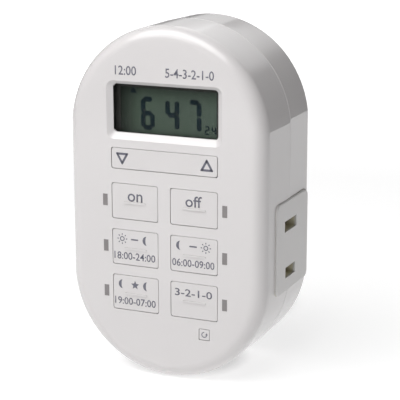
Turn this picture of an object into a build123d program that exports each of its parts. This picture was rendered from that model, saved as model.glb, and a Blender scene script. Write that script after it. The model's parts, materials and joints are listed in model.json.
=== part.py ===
from build123d import *
import os
from math import sqrt

# Digital plug-in timer: an oval white case that hangs on a wall outlet by its two flat blades.
# The display and the keys face -Y, +X is to the viewer's right and +Z is up. The origin lies in
# the plane of the wall, midway between the two plug blades, which point along +Y.
# All sizes are in millimetres.

# Case
body_radius = 28.2
arc_rise = 18.95
seam_depth = 17.9
wall = 1.8
case_draft = 0.7
front_edge_radius = 3.7
back_edge_radius = 0.9
front_flat_margin = 2.35
back_flat_margin = 3.35
seam_bevel = 0.2
tongue_height = 1.1
tongue_thickness = 0.8
tongue_clearance = 0.1
label_width = 30.0
label_height = 18.0
label_depth = 0.25
label_drop = 16.0

# Plug
plug_rise = 20.0
blade_spacing = 12.7
blade_thickness = 1.5
line_blade_width = 6.35
neutral_blade_width = 7.9
blade_length = 16.5
blade_tip_bevel = 0.5
blade_hole_radius = 1.6
blade_hole_reach = 11.9
blade_clearance = 0.05
holder_width = 21.0
holder_height = 13.0
holder_thickness = 5.0

# Display
window_width = 29.7
window_height = 12.8
window_rise = 25.1
window_corner = 1.0
bevel_side = 1.45
bevel_top = 0.9
bevel_bottom = 1.7
bevel_depth = 1.1
window_margin = 1.0
lens_thickness = 1.0
lens_gap = 0.15
lcd_thickness = 2.05
lcd_holder_wall = 0.9
lcd_clearance = 0.1
connector_height = 2.0
connector_inset = 1.9

# Keys
key_width = 13.48
key_height = 9.73
key_column = 8.46
key_pitch = 12.5
first_key_space = 3.775
key_gap = 0.13
key_corner = 0.6
key_edge_radius = 0.15
key_lip = 0.6
key_flange = 0.8
key_stem_radius = 1.9
rib_length = 6.6
rib_width = 0.5
rib_height = 0.2
rib_drop = 0.3
reset_size = 3.15
reset_x = 11.35
reset_space = 2.36
reset_stem_radius = 1.1

# Rocker
rocker_width = 30.4
rocker_height = 5.7
rocker_space = 3.86
rocker_gap = 0.2
rocker_thickness = 2.4
rocker_pivot_depth = 3.0
rocker_pin_radius = 0.75
rocker_pin_clearance = 0.05
rocker_pin_reach = 1.1
rocker_lug_wall = 0.8
rocker_hub_width = 4.0
rocker_end_gap = 0.1
rocker_post_offset = 9.0
rocker_post_radius = 1.6

# Rubber keypad
mat_thickness = 1.0
mat_margin = 1.2
dome_height = 1.8
dome_radius = 2.6
dome_taper = 24.0
dome_hollow_radius = 1.2
dome_hollow_height = 0.9
small_dome_radius = 1.7
small_dome_hollow_radius = 0.7

# Indicator lamps
lamp_width = 1.4
lamp_height = 3.15
lamp_column = 17.1
lamp_clearance = 0.04
lamp_lip = 0.35
lamp_flange = 0.8
led_width = 1.0
led_height = 2.0
led_thickness = 0.8

# Boards and their screws
board_depth = 7.0
board_thickness = 1.6
board_edge_gap = 2.6
boss_notch_gap = 0.4
component_space = 19.7
power_board_standoff = 1.0
power_board_top = 12.5
header_x = 2.5
header_rise = -15.0
header_length = 12.7
header_size = 2.5
header_pitch = 2.54
header_pins = 5
pin_radius = 0.32
pillar_radius = 2.2
pillar_edge_gap = 0.85
pillar_rises = (10.0, -17.0)
board_screw_radius = 0.8
board_screw_head_radius = 1.7
board_screw_head = 1.1
board_screw_length = 4.2
board_screw_clearance = 0.15
power_screw_rises = (1.0, 6.5, -35.5)
power_screw_inset = 5.3
power_screw_x = -4.5

# Case screws
boss_radius = 3.0
boss_holder_gap = 0.3
boss_wall_gap = 0.3
back_boss_radius = 3.8
screw_radius = 1.4
screw_clearance = 0.1
screw_head_radius = 2.6
screw_head = 2.0
screw_recess = 6.0
screw_length = 14.0
screw_slot_length = 3.0
screw_slot_width = 0.6
screw_slot_depth = 1.1
screw_bottom_gap = 0.8

# Side outlet
outlet_rise = -12.0
outlet_spacing = 12.7
neutral_slot_length = 8.8
line_slot_length = 7.2
slot_width = 3.0
plate_front = 7.9
plate_back_inset = 1.6
plate_top = 1.2
plate_bottom = -23.5
plate_corner = 2.0
plate_proud = 0.35
plate_bevel = 0.3
plate_gap = 0.05
socket_wall_gap = 0.9
socket_flange = 1.3
socket_flange_lip = 1.0
socket_length = 17.3
socket_front_gap = 2.0
socket_back_gap = 3.4
socket_height = 20.0
socket_cavity_width = 10.0
socket_cavity_height = 5.0
contact_width = 6.0
contact_leaf = 0.5
contact_grip = 1.4
contact_mouth_length = 2.0
contact_mouth_rise = 1.0
contact_front_gap = 1.0
contact_tail_width = 4.0

# Components
relay_size = (19.0, 15.5, 15.3)
relay_place = (-12.5, -16.2)
film_capacitor_size = (18.0, 6.0, 12.0)
film_capacitor_place = (-9.0, -4.6)
smoothing_capacitor_radius = 4.0
smoothing_capacitor_height = 11.5
smoothing_capacitor_place = (-14.0, 5.0)
varistor_radius = 3.5
varistor_thickness = 3.6
varistor_place = (0.0, 5.0)
lead_radius = 0.35
lead_length = 1.2
fuse_radius = 1.75
fuse_length = 9.0
fuse_rise = -28.0
fuse_x = 3.0
diode_size = (4.4, 2.6, 2.2)
diode_place = (-9.0, -29.5)
diode_spacing = (6.0, 4.0)
chip_size = (10.0, 10.0, 1.4)
chip_place = (-8.0, -6.0)
crystal_radius = 1.0
crystal_length = 6.2
crystal_place = (3.0, -2.0)
cell_radius = 10.0
cell_thickness = 3.2
cell_rise = 22.0
clip_thickness = 0.4
clip_width = 6.0
clip_gap = 0.2
edge_radius = 0.6

# Worked out from the sizes above
front_flat = sqrt(body_radius**2 - front_flat_margin**2)
back_flat = sqrt(body_radius**2 - back_flat_margin**2)
cavity_radius = body_radius - wall
display_board_back = board_depth + board_thickness
power_board_front = display_board_back + component_space
power_board_back = power_board_front + board_thickness
floor_depth = power_board_back + power_board_standoff
body_depth = floor_depth + wall
mat_front = board_depth - mat_thickness
dome_front = mat_front - dome_height
stem_length = dome_front - wall - key_flange
rocker_rise = window_rise - window_height / 2 - rocker_space - rocker_height / 2
first_key_rise = rocker_rise - rocker_height / 2 - first_key_space - key_height / 2
key_rises = [first_key_rise - row * key_pitch for row in range(3)]
reset_rise = key_rises[-1] - key_height / 2 - reset_space - reset_size / 2
lens_width = window_width + 2 * window_margin
lens_height = window_height + 2 * window_margin
lcd_frame_width = lens_width + 2 * (lcd_clearance + lcd_holder_wall)
lcd_frame_height = lens_height + 2 * (lcd_clearance + lcd_holder_wall)
lcd_front = wall + lens_thickness + lens_gap
lcd_back = lcd_front + lcd_thickness
boss_reach = cavity_radius - boss_radius - boss_wall_gap
top_boss_x = lcd_frame_width / 2 + boss_holder_gap + boss_radius
top_boss_rise = arc_rise + sqrt(boss_reach**2 - top_boss_x**2)
boss_places = [(-top_boss_x, top_boss_rise), (top_boss_x, top_boss_rise), (0, -arc_rise - boss_reach)]
screw_seat_depth = body_depth - screw_recess
pillar_column = cavity_radius - board_edge_gap - pillar_edge_gap - pillar_radius
power_screw_places = [
    (x, z) for x, z in zip(
        (-pillar_column, pillar_column - power_screw_inset, power_screw_x), power_screw_rises
    )
]
pillar_places = [(x, z) for x in (-pillar_column, pillar_column) for z in pillar_rises]
lamp_places = [(x, z) for z in key_rises for x in (-lamp_column, lamp_column)]
rocker_posts = [(-rocker_post_offset, rocker_rise), (rocker_post_offset, rocker_rise)]
socket_front_x = front_flat - wall - socket_wall_gap
socket_back_x = socket_front_x - socket_length
socket_width = component_space - socket_front_gap - socket_back_gap
outlet_depth = display_board_back + socket_front_gap + socket_width / 2
neutral_rise = outlet_rise + outlet_spacing / 2
line_rise = outlet_rise - outlet_spacing / 2
outlet_middle = (outlet_depth, outlet_rise)
plate_back = body_depth - plate_back_inset
plate_length = plate_back - plate_front
plate_height = plate_top - plate_bottom
plate_middle = ((plate_front + plate_back) / 2, (plate_top + plate_bottom) / 2)
plate_thickness = body_radius + plate_proud - socket_front_x
holder_front = floor_depth - holder_thickness
cut_past = 1.0


def layer(depth):
    """Plane at a depth behind the front face: x is X, y is height over the oval's centre."""
    return Plane(origin=(0, depth - body_depth, -plug_rise), x_dir=(1, 0, 0), z_dir=(0, -1, 0))


def back_layer(depth):
    """The same plane seen from the wall, so that growing it goes towards the wall."""
    return Plane(origin=(0, depth - body_depth, -plug_rise), x_dir=(-1, 0, 0), z_dir=(0, 1, 0))


def side_layer(x):
    """Plane across X: x is depth behind the front face, y is height over the oval's centre."""
    return Plane(origin=(x, -body_depth, -plug_rise), x_dir=(0, 1, 0), z_dir=(1, 0, 0))


def top_layer(rise):
    """Plane at a height over the oval's centre: x is X, y is depth behind the front face."""
    return Plane(origin=(0, -body_depth, rise - plug_rise), x_dir=(1, 0, 0), z_dir=(0, 0, 1))


def oval(radius, mode=Mode.ADD):
    """Oval outline of the case: two half circles joined by straight sides."""
    SlotCenterToCenter(2 * arc_rise, 2 * radius, rotation=90, mode=mode)


def case_block(plane, depth, flat, edge_radius):
    """Drafted oval block with a rounded end, whose long sides are cut flat a little inside the arcs."""
    with BuildPart() as flat_sides:
        with BuildSketch(plane):
            Rectangle(2 * flat, 4 * (arc_rise + body_radius))
        extrude(amount=depth, taper=case_draft)
        seam_face, end_face = flat_sides.faces().filter_by(plane).sort_by_distance(plane.origin)
        fillet(end_face.edges().filter_by(Axis.Z), edge_radius)
        chamfer(seam_face.edges().filter_by(Axis.Z), seam_bevel)
    with BuildPart() as block:
        with BuildSketch(plane):
            oval(body_radius)
        extrude(amount=depth, taper=case_draft)
        seam_face, end_face = block.faces().filter_by(plane).sort_by_distance(plane.origin)
        fillet(end_face.edges(), edge_radius)
        chamfer(seam_face.edges(), seam_bevel)
        add(flat_sides.part, mode=Mode.INTERSECT)
    return block


def plate_outline(grow):
    """Outline of the side outlet's faceplate on a side plane."""
    with Locations(plate_middle):
        RectangleRounded(plate_length + 2 * grow, plate_height + 2 * grow, plate_corner + grow)


def outlet_slots():
    """The two parallel slots of the side outlet, the wider one for the neutral blade."""
    with Locations((outlet_depth, neutral_rise)):
        Rectangle(neutral_slot_length, slot_width)
    with Locations((outlet_depth, line_rise)):
        Rectangle(line_slot_length, slot_width)


pieces = {}


def keep(name, builder):
    """Give the finished piece its name and put it on the list of files."""
    builder.part.label = name
    pieces[name] = builder.part


# Front cover: the face with its window, key wells and lamp slots, bosses, pillars and pivot lugs
key_wells = [(x, z) for z in key_rises for x in (-key_column, key_column)]
lug_thickness = rocker_pin_reach + rocker_end_gap
lug_rises = (
    rocker_rise + rocker_height / 2 + lug_thickness / 2,
    rocker_rise - rocker_height / 2 - lug_thickness / 2,
)
lug_width = 2 * (rocker_pin_radius + rocker_pin_clearance + rocker_lug_wall)
lug_depth = rocker_pivot_depth + rocker_pin_radius + rocker_lug_wall

front_block = case_block(layer(seam_depth), seam_depth, front_flat, front_edge_radius)

with BuildPart() as front_cover:
    add(front_block.part)
    with BuildSketch(layer(seam_depth)):
        oval(cavity_radius)
    extrude(amount=seam_depth - wall, taper=case_draft, mode=Mode.SUBTRACT)
    roof = front_cover.faces().filter_by(Plane.XZ).sort_by(Axis.Y)[1]
    fillet(roof.edges(), front_edge_radius - wall)
    with BuildSketch(layer(seam_depth)):
        oval(cavity_radius + tongue_thickness + tongue_clearance)
    extrude(amount=tongue_height + tongue_clearance, mode=Mode.SUBTRACT)
    with BuildSketch(layer(seam_depth)):
        with Locations(*boss_places):
            Circle(boss_radius)
            Circle(screw_radius + screw_clearance / 2, mode=Mode.SUBTRACT)
    extrude(amount=seam_depth - wall)
    boss_fill_depth = screw_seat_depth - screw_length - screw_bottom_gap
    with BuildSketch(layer(boss_fill_depth)):
        with Locations(*boss_places):
            Circle(boss_radius)
    extrude(amount=boss_fill_depth - wall)
    with BuildSketch(layer(board_depth)):
        with Locations(*pillar_places):
            Circle(pillar_radius)
            Circle(board_screw_radius + board_screw_clearance / 2, mode=Mode.SUBTRACT)
    extrude(amount=board_depth - wall)
    with BuildSketch(layer(0)):
        with Locations((0, window_rise + (bevel_top - bevel_bottom) / 2)):
            RectangleRounded(
                window_width + 2 * bevel_side, window_height + bevel_top + bevel_bottom,
                window_corner + bevel_top
            )
    with BuildSketch(layer(bevel_depth)):
        with Locations((0, window_rise)):
            RectangleRounded(window_width, window_height, window_corner)
    loft(mode=Mode.SUBTRACT)
    with BuildSketch(layer(0)):
        with Locations((0, window_rise)):
            RectangleRounded(window_width, window_height, window_corner)
        with Locations(*key_wells):
            RectangleRounded(key_width, key_height, key_corner)
        with Locations((0, rocker_rise)):
            RectangleRounded(rocker_width, rocker_height, key_corner)
        with Locations((reset_x, reset_rise)):
            RectangleRounded(reset_size, reset_size, key_corner / 2)
        with Locations(*lamp_places):
            Rectangle(lamp_width, lamp_height)
    extrude(amount=-wall, mode=Mode.SUBTRACT)
    for lug_rise in lug_rises:
        with BuildSketch(top_layer(lug_rise)):
            with Locations((0, (wall + lug_depth) / 2)):
                Rectangle(lug_width, lug_depth - wall)
            with Locations((0, rocker_pivot_depth)):
                Circle(rocker_pin_radius + rocker_pin_clearance, mode=Mode.SUBTRACT)
        extrude(amount=lug_thickness / 2, both=True)
    with BuildSketch(side_layer(body_radius + cut_past)):
        plate_outline(plate_gap)
    extrude(amount=-(body_radius + cut_past - socket_front_x), mode=Mode.SUBTRACT)
keep("front_cover", front_cover)

# Rear cover: the back shell with its tongue, screw bosses, board pillars and blade slots
back_lip = floor_depth - seam_depth
blade_places = {
    "line": ((blade_spacing / 2, plug_rise), line_blade_width),
    "neutral": ((-blade_spacing / 2, plug_rise), neutral_blade_width),
}

rear_block = case_block(back_layer(seam_depth), body_depth - seam_depth, back_flat, back_edge_radius)

with BuildPart() as rear_cover:
    add(rear_block.part)
    with BuildSketch(back_layer(seam_depth)):
        oval(cavity_radius)
    extrude(amount=back_lip, taper=case_draft, mode=Mode.SUBTRACT)
    with BuildSketch(layer(seam_depth)):
        oval(cavity_radius + tongue_thickness)
        oval(cavity_radius, mode=Mode.SUBTRACT)
    extrude(amount=tongue_height)
    with BuildSketch(layer(floor_depth)):
        with Locations(*boss_places):
            Circle(back_boss_radius)
    extrude(amount=back_lip)
    with BuildSketch(layer(floor_depth)):
        with Locations(*power_screw_places):
            Circle(pillar_radius)
    extrude(amount=power_board_standoff)
    with BuildSketch(layer(body_depth)):
        with Locations(*boss_places):
            Circle(screw_head_radius + screw_clearance)
    extrude(amount=body_depth - screw_seat_depth, mode=Mode.SUBTRACT)
    with BuildSketch(layer(screw_seat_depth)):
        with Locations(*boss_places):
            Circle(screw_radius + screw_clearance)
    extrude(amount=screw_seat_depth - seam_depth, mode=Mode.SUBTRACT)
    with BuildSketch(layer(power_board_back)):
        with Locations(*power_screw_places):
            Circle(board_screw_radius + board_screw_clearance / 2)
    extrude(amount=-(board_screw_length - board_thickness + board_screw_clearance), mode=Mode.SUBTRACT)
    with BuildSketch(layer(floor_depth)):
        for place, width in blade_places.values():
            with Locations(place):
                Rectangle(blade_thickness + 2 * blade_clearance, width + 2 * blade_clearance)
    extrude(amount=-wall, mode=Mode.SUBTRACT)
    with BuildSketch(layer(body_depth)):
        with Locations((0, -label_drop)):
            RectangleRounded(label_width, label_height, window_corner)
    extrude(amount=label_depth, mode=Mode.SUBTRACT)
    with BuildSketch(side_layer(body_radius + cut_past)):
        plate_outline(plate_gap)
    extrude(amount=-(body_radius + cut_past - socket_front_x), mode=Mode.SUBTRACT)
keep("rear_cover", rear_cover)

# Faceplate of the side outlet, a little proud of the case
with BuildPart() as outlet_faceplate:
    with BuildSketch(side_layer(socket_front_x)):
        plate_outline(0)
    extrude(amount=plate_thickness)
    chamfer(outlet_faceplate.faces().sort_by(Axis.X)[-1].edges(), plate_bevel)
    with BuildSketch(side_layer(socket_front_x)):
        outlet_slots()
    extrude(amount=plate_thickness, mode=Mode.SUBTRACT)
keep("outlet_faceplate", outlet_faceplate)

# Socket body behind the faceplate, with one open-backed chamber for each contact
with BuildPart() as outlet_socket:
    with BuildSketch(side_layer(socket_front_x)):
        with Locations(plate_middle):
            Rectangle(plate_length - 2 * socket_flange_lip, plate_height + 2 * socket_flange_lip)
    extrude(amount=-socket_flange)
    with BuildSketch(side_layer(socket_front_x - socket_flange)):
        with Locations(outlet_middle):
            Rectangle(socket_width, socket_height)
    extrude(amount=socket_flange - socket_length)
    with BuildSketch(side_layer(socket_back_x)):
        with Locations((outlet_depth, neutral_rise), (outlet_depth, line_rise)):
            Rectangle(socket_cavity_width, socket_cavity_height)
    extrude(amount=socket_length - socket_flange, mode=Mode.SUBTRACT)
    with BuildSketch(side_layer(socket_front_x)):
        outlet_slots()
    extrude(amount=-socket_flange, mode=Mode.SUBTRACT)
keep("outlet_socket", outlet_socket)

# Outlet contacts: a folded brass strip that grips the blade between two leaves
leaf_inner = contact_grip / 2
leaf_outer = leaf_inner + contact_leaf
bridge_x = socket_back_x - contact_leaf
mouth_x = socket_front_x - socket_flange - contact_front_gap
tail_length = power_board_front - outlet_depth

for contact_name, contact_rise in (("neutral", neutral_rise), ("line", line_rise)):
    with BuildPart() as contact:
        with BuildSketch(Plane(origin=(0, outlet_depth - body_depth, contact_rise - plug_rise),
                               x_dir=(1, 0, 0), z_dir=(0, -1, 0))):
            with BuildLine():
                Polyline(
                    (bridge_x, 0),
                    (bridge_x, leaf_outer),
                    (mouth_x - contact_mouth_length, leaf_outer),
                    (mouth_x, leaf_outer + contact_mouth_rise),
                    (mouth_x, leaf_inner + contact_mouth_rise),
                    (mouth_x - contact_mouth_length, leaf_inner),
                    (socket_back_x, leaf_inner),
                    (socket_back_x, 0),
                )
                mirror(about=Plane.XZ)
            make_face()
        extrude(amount=contact_width / 2, both=True)
        with BuildSketch(side_layer(bridge_x)):
            with Locations((outlet_depth + tail_length / 2, contact_rise)):
                Rectangle(tail_length, contact_tail_width)
        extrude(amount=contact_leaf)
    keep("outlet_contact_" + contact_name, contact)

# Plug blades: a flat blade with a hole, a tail behind the holder and a foot on the power board
tail_front = holder_front - blade_thickness
foot_rise = power_board_top - 2 * blade_thickness

for blade_name, (blade_place, blade_width) in blade_places.items():
    with BuildPart() as blade:
        with BuildSketch(side_layer(blade_place[0])):
            with Locations((tail_front, plug_rise)):
                Rectangle(
                    body_depth + blade_length - tail_front, blade_width, align=(Align.MIN, Align.CENTER)
                )
            chamfer(vertices().group_by(Axis.X)[-1], blade_tip_bevel)
            with Locations((tail_front, plug_rise)):
                Rectangle(
                    blade_thickness, plug_rise - foot_rise, align=(Align.MIN, Align.MAX)
                )
            with Locations((tail_front, foot_rise)):
                Rectangle(
                    power_board_front - tail_front, blade_thickness, align=(Align.MIN, Align.MIN)
                )
            with Locations((body_depth + blade_hole_reach, plug_rise)):
                Circle(blade_hole_radius, mode=Mode.SUBTRACT)
        extrude(amount=blade_thickness / 2, both=True)
    keep("plug_blade_" + blade_name, blade)

with BuildPart() as blade_holder:
    with BuildSketch(layer(floor_depth)):
        with Locations((0, plug_rise)):
            RectangleRounded(holder_width, holder_height, edge_radius)
        for place, width in blade_places.values():
            with Locations(place):
                Rectangle(
                    blade_thickness + 2 * blade_clearance, width + 2 * blade_clearance, mode=Mode.SUBTRACT
                )
    extrude(amount=holder_thickness)
keep("blade_holder", blade_holder)

# Display: clear window, liquid-crystal glass, the frame that holds both and the rubber connector
with BuildPart() as display_window:
    with BuildSketch(layer(wall)):
        with Locations((0, window_rise)):
            Rectangle(lens_width, lens_height)
    extrude(amount=-lens_thickness)
keep("display_window", display_window)

with BuildPart() as lcd_glass:
    with BuildSketch(layer(lcd_front)):
        with Locations((0, window_rise)):
            Rectangle(lens_width, lens_height)
    extrude(amount=-lcd_thickness)
keep("lcd_glass", lcd_glass)

connector_rise = window_rise - lens_height / 2 + connector_inset
connector_width = window_width - 2 * window_margin

with BuildPart() as lcd_holder:
    with BuildSketch(layer(wall)):
        with Locations((0, window_rise)):
            Rectangle(lcd_frame_width, lcd_frame_height)
    extrude(amount=wall - board_depth)
    with BuildSketch(layer(wall)):
        with Locations((0, window_rise)):
            Rectangle(lens_width + 2 * lcd_clearance, lens_height + 2 * lcd_clearance)
    extrude(amount=wall - lcd_back, mode=Mode.SUBTRACT)
    with BuildSketch(layer(lcd_back)):
        with Locations((0, connector_rise)):
            Rectangle(connector_width + 2 * lcd_clearance, connector_height + 2 * lcd_clearance)
    extrude(amount=lcd_back - board_depth, mode=Mode.SUBTRACT)
keep("lcd_holder", lcd_holder)

with BuildPart() as lcd_connector:
    with BuildSketch(layer(lcd_back)):
        with Locations((0, connector_rise)):
            Rectangle(connector_width, connector_height)
    extrude(amount=lcd_back - board_depth)
keep("lcd_connector", lcd_connector)

# Keys: a cap flush with the face, a flange behind it that stops it, and a stem on its dome
key_names = (
    ("key_on", "key_off"),
    ("key_evening", "key_morning"),
    ("key_all_night", "key_countdown"),
)


def make_key(place, width, height, corner, stem_radius, ribbed):
    """Cap, flange and stem of one key at its place on the face, and its finger rib if it has one."""
    with BuildPart() as key:
        with BuildSketch(layer(0)):
            with Locations(place):
                RectangleRounded(width - 2 * key_gap, height - 2 * key_gap, corner)
        extrude(amount=-wall)
        fillet(key.faces().sort_by(Axis.Y)[0].edges(), key_edge_radius)
        with BuildSketch(layer(wall)):
            with Locations(place):
                Rectangle(width + 2 * key_lip, height + 2 * key_lip)
        extrude(amount=-key_flange)
        with BuildSketch(layer(wall + key_flange)):
            with Locations(place):
                Circle(stem_radius)
        extrude(amount=-stem_length)
        if ribbed:
            with BuildSketch(layer(0)):
                with Locations((place[0], place[1] - rib_drop)):
                    SlotOverall(rib_length, rib_width)
            extrude(amount=rib_height)
    return key


def make_dome(places, radius, hollow_radius):
    """Rubber dome on the keypad mat, hollow over its contact."""
    with BuildPart() as dome:
        with BuildSketch(layer(mat_front)):
            with Locations(*places):
                Circle(radius)
        extrude(amount=dome_height, taper=dome_taper)
        with BuildSketch(layer(mat_front)):
            with Locations(*places):
                Circle(hollow_radius)
        extrude(amount=dome_hollow_height, mode=Mode.SUBTRACT)
    return dome


for row_names, rise in zip(key_names, key_rises):
    for key_name, column in zip(row_names, (-key_column, key_column)):
        keep(key_name, make_key((column, rise), key_width, key_height, key_corner, key_stem_radius, True))
        keep(key_name.replace("key", "dome"), make_dome([(column, rise)], dome_radius, dome_hollow_radius))

reset_place = (reset_x, reset_rise)
keep("key_reset", make_key(reset_place, reset_size, reset_size, key_corner / 2, reset_stem_radius, False))
keep("dome_reset", make_dome([reset_place], small_dome_radius, small_dome_hollow_radius))

# Rocker for setting the time: it tips about a pin across its middle
with BuildPart() as rocker:
    with BuildSketch(layer(0)):
        with Locations((0, rocker_rise)):
            RectangleRounded(
                rocker_width - 2 * rocker_gap, rocker_height - 2 * key_gap, key_corner
            )
    extrude(amount=-rocker_thickness)
    fillet(rocker.faces().sort_by(Axis.Y)[0].edges(), key_edge_radius)
    with BuildSketch(layer(rocker_thickness)):
        with Locations((0, rocker_rise)):
            Rectangle(rocker_hub_width, rocker_height - 2 * key_gap)
    extrude(amount=rocker_thickness - rocker_pivot_depth - rocker_pin_radius)
    with BuildSketch(layer(rocker_thickness)):
        with Locations(*rocker_posts):
            Circle(rocker_post_radius)
    extrude(amount=rocker_thickness - dome_front)
    with BuildSketch(top_layer(rocker_rise)):
        with Locations((0, rocker_pivot_depth)):
            Circle(rocker_pin_radius)
    extrude(amount=rocker_height / 2 + rocker_pin_reach, both=True)
keep("rocker_up_down", rocker)
keep("rocker_domes", make_dome(rocker_posts, dome_radius, dome_hollow_radius))

# Keypad mat: one rubber sheet under all domes, flat on the display board
mat_top = rocker_rise + rocker_height / 2
mat_bottom = reset_rise - reset_size / 2 - mat_margin
mat_half_width = key_column + key_width / 2 + key_lip / 2

with BuildPart() as keypad_mat:
    with BuildSketch(layer(mat_front)):
        with Locations((0, (mat_top + mat_bottom) / 2)):
            RectangleRounded(2 * mat_half_width, mat_top - mat_bottom, edge_radius)
    extrude(amount=-mat_thickness)
keep("keypad_mat", keypad_mat)

# Indicator lamps: a light guide in each slot of the face and a small light source behind it
lamp_names = ("on", "off", "evening", "morning", "all_night", "countdown")
guide_back = board_depth - led_thickness

for lamp_name, lamp_place in zip(lamp_names, lamp_places):
    with BuildPart() as light_guide:
        with BuildSketch(layer(0)):
            with Locations(lamp_place):
                Rectangle(lamp_width - 2 * lamp_clearance, lamp_height - 2 * lamp_clearance)
        extrude(amount=-guide_back)
        with BuildSketch(layer(wall)):
            with Locations(lamp_place):
                Rectangle(lamp_width + 2 * lamp_lip, lamp_height + 2 * lamp_lip)
        extrude(amount=-lamp_flange)
    keep("lamp_window_" + lamp_name, light_guide)
    with BuildPart() as led:
        with BuildSketch(layer(board_depth)):
            with Locations(lamp_place):
                Rectangle(led_width, led_height)
        extrude(amount=led_thickness)
    keep("lamp_led_" + lamp_name, led)


# Boards
def board_outline():
    """Oval board outline with a notch round each case boss."""
    oval(cavity_radius - board_edge_gap)
    with Locations(*boss_places):
        Circle(back_boss_radius + boss_notch_gap, mode=Mode.SUBTRACT)


with BuildPart() as display_board:
    with BuildSketch(layer(board_depth)):
        board_outline()
        with Locations(*pillar_places):
            Circle(board_screw_radius + board_screw_clearance, mode=Mode.SUBTRACT)
    extrude(amount=-board_thickness)
keep("display_board", display_board)

with BuildPart() as power_board:
    with BuildSketch(layer(power_board_front)):
        board_outline()
        with Locations((0, power_board_top)):
            Rectangle(2 * body_radius, 4 * body_radius, align=(Align.CENTER, Align.MAX), mode=Mode.INTERSECT)
        with Locations(*power_screw_places):
            Circle(board_screw_radius + board_screw_clearance, mode=Mode.SUBTRACT)
    extrude(amount=-board_thickness)
keep("power_board", power_board)

# Link between the boards: two strips of insulation joined by stiff pins
link_length = power_board_front - display_board_back
with BuildPart() as board_link:
    for plane, grow in ((layer(display_board_back), -1), (layer(power_board_front), 1)):
        with BuildSketch(plane):
            with Locations((header_x, header_rise)):
                Rectangle(header_size, header_length)
        extrude(amount=grow * header_size)
    with BuildSketch(layer(power_board_front)):
        with Locations((header_x, header_rise)):
            with GridLocations(1, header_pitch, 1, header_pins):
                Circle(pin_radius)
    extrude(amount=link_length)
keep("board_link", board_link)

# Components on the power board
with BuildPart() as relay:
    with BuildSketch(layer(power_board_front)):
        with Locations(relay_place):
            RectangleRounded(relay_size[0], relay_size[1], edge_radius)
    extrude(amount=relay_size[2])
keep("relay", relay)

with BuildPart() as film_capacitor:
    with BuildSketch(layer(power_board_front)):
        with Locations(film_capacitor_place):
            RectangleRounded(film_capacitor_size[0], film_capacitor_size[1], edge_radius)
    extrude(amount=film_capacitor_size[2])
keep("film_capacitor", film_capacitor)

with BuildPart() as smoothing_capacitor:
    with BuildSketch(layer(power_board_front)):
        with Locations(smoothing_capacitor_place):
            Circle(smoothing_capacitor_radius)
    extrude(amount=smoothing_capacitor_height)
    fillet(smoothing_capacitor.faces().sort_by(Axis.Y)[0].edges(), edge_radius)
keep("smoothing_capacitor", smoothing_capacitor)

varistor_depth = power_board_front - lead_length - varistor_radius
with BuildPart() as varistor:
    with BuildSketch(top_layer(varistor_place[1])):
        with Locations((varistor_place[0], varistor_depth)):
            Circle(varistor_radius)
    extrude(amount=varistor_thickness / 2, both=True)
    with BuildSketch(layer(power_board_front)):
        with Locations(varistor_place):
            with GridLocations(varistor_radius, 1, 2, 1):
                Circle(lead_radius)
    extrude(amount=lead_length + varistor_radius)
keep("varistor", varistor)

fuse_depth = power_board_front - lead_length - fuse_radius
with BuildPart() as fuse_resistor:
    with BuildSketch(side_layer(fuse_x)):
        with Locations((fuse_depth, fuse_rise)):
            Circle(fuse_radius)
    extrude(amount=fuse_length / 2, both=True)
    with BuildSketch(side_layer(fuse_x)):
        with Locations((fuse_depth, fuse_rise)):
            Circle(lead_radius)
    extrude(amount=fuse_length / 2 + 3 * lead_radius, both=True)
    with BuildSketch(layer(power_board_front)):
        with Locations((fuse_x, fuse_rise)):
            with GridLocations(fuse_length + 4 * lead_radius, 1, 2, 1):
                Circle(lead_radius)
    extrude(amount=lead_length + fuse_radius + lead_radius)
keep("fuse_resistor", fuse_resistor)

with BuildPart() as rectifier_diodes:
    with BuildSketch(layer(power_board_front)):
        with Locations(diode_place):
            with GridLocations(diode_spacing[0], diode_spacing[1], 2, 2):
                Rectangle(diode_size[0], diode_size[1])
    extrude(amount=diode_size[2])
keep("rectifier_diodes", rectifier_diodes)

# Components on the back of the display board
with BuildPart() as control_chip:
    with BuildSketch(layer(display_board_back)):
        with Locations(chip_place):
            Rectangle(chip_size[0], chip_size[1])
    extrude(amount=-chip_size[2])
keep("control_chip", control_chip)

with BuildPart() as clock_crystal:
    with BuildSketch(side_layer(crystal_place[0])):
        with Locations((display_board_back + crystal_radius, crystal_place[1])):
            Circle(crystal_radius)
    extrude(amount=crystal_length / 2, both=True)
    fillet(clock_crystal.edges().filter_by(GeomType.CIRCLE), crystal_radius / 4)
keep("clock_crystal", clock_crystal)

cell_front = display_board_back + clip_thickness
with BuildPart() as backup_cell:
    with BuildSketch(layer(cell_front)):
        with Locations((0, cell_rise)):
            Circle(cell_radius)
    extrude(amount=-cell_thickness)
    fillet(backup_cell.faces().sort_by(Axis.Y)[-1].edges(), edge_radius)
keep("backup_cell", backup_cell)

clip_length = 2 * (cell_radius + clip_gap + clip_thickness)
with BuildPart() as cell_clip:
    with BuildSketch(layer(display_board_back)):
        with Locations((0, cell_rise)):
            Rectangle(clip_length, clip_width)
    extrude(amount=-(2 * clip_thickness + cell_thickness + clip_gap))
    with BuildSketch(layer(cell_front)):
        with Locations((0, cell_rise)):
            Rectangle(clip_length - 2 * clip_thickness, clip_width)
    extrude(amount=-(cell_thickness + clip_gap), mode=Mode.SUBTRACT)
keep("cell_clip", cell_clip)

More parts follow.
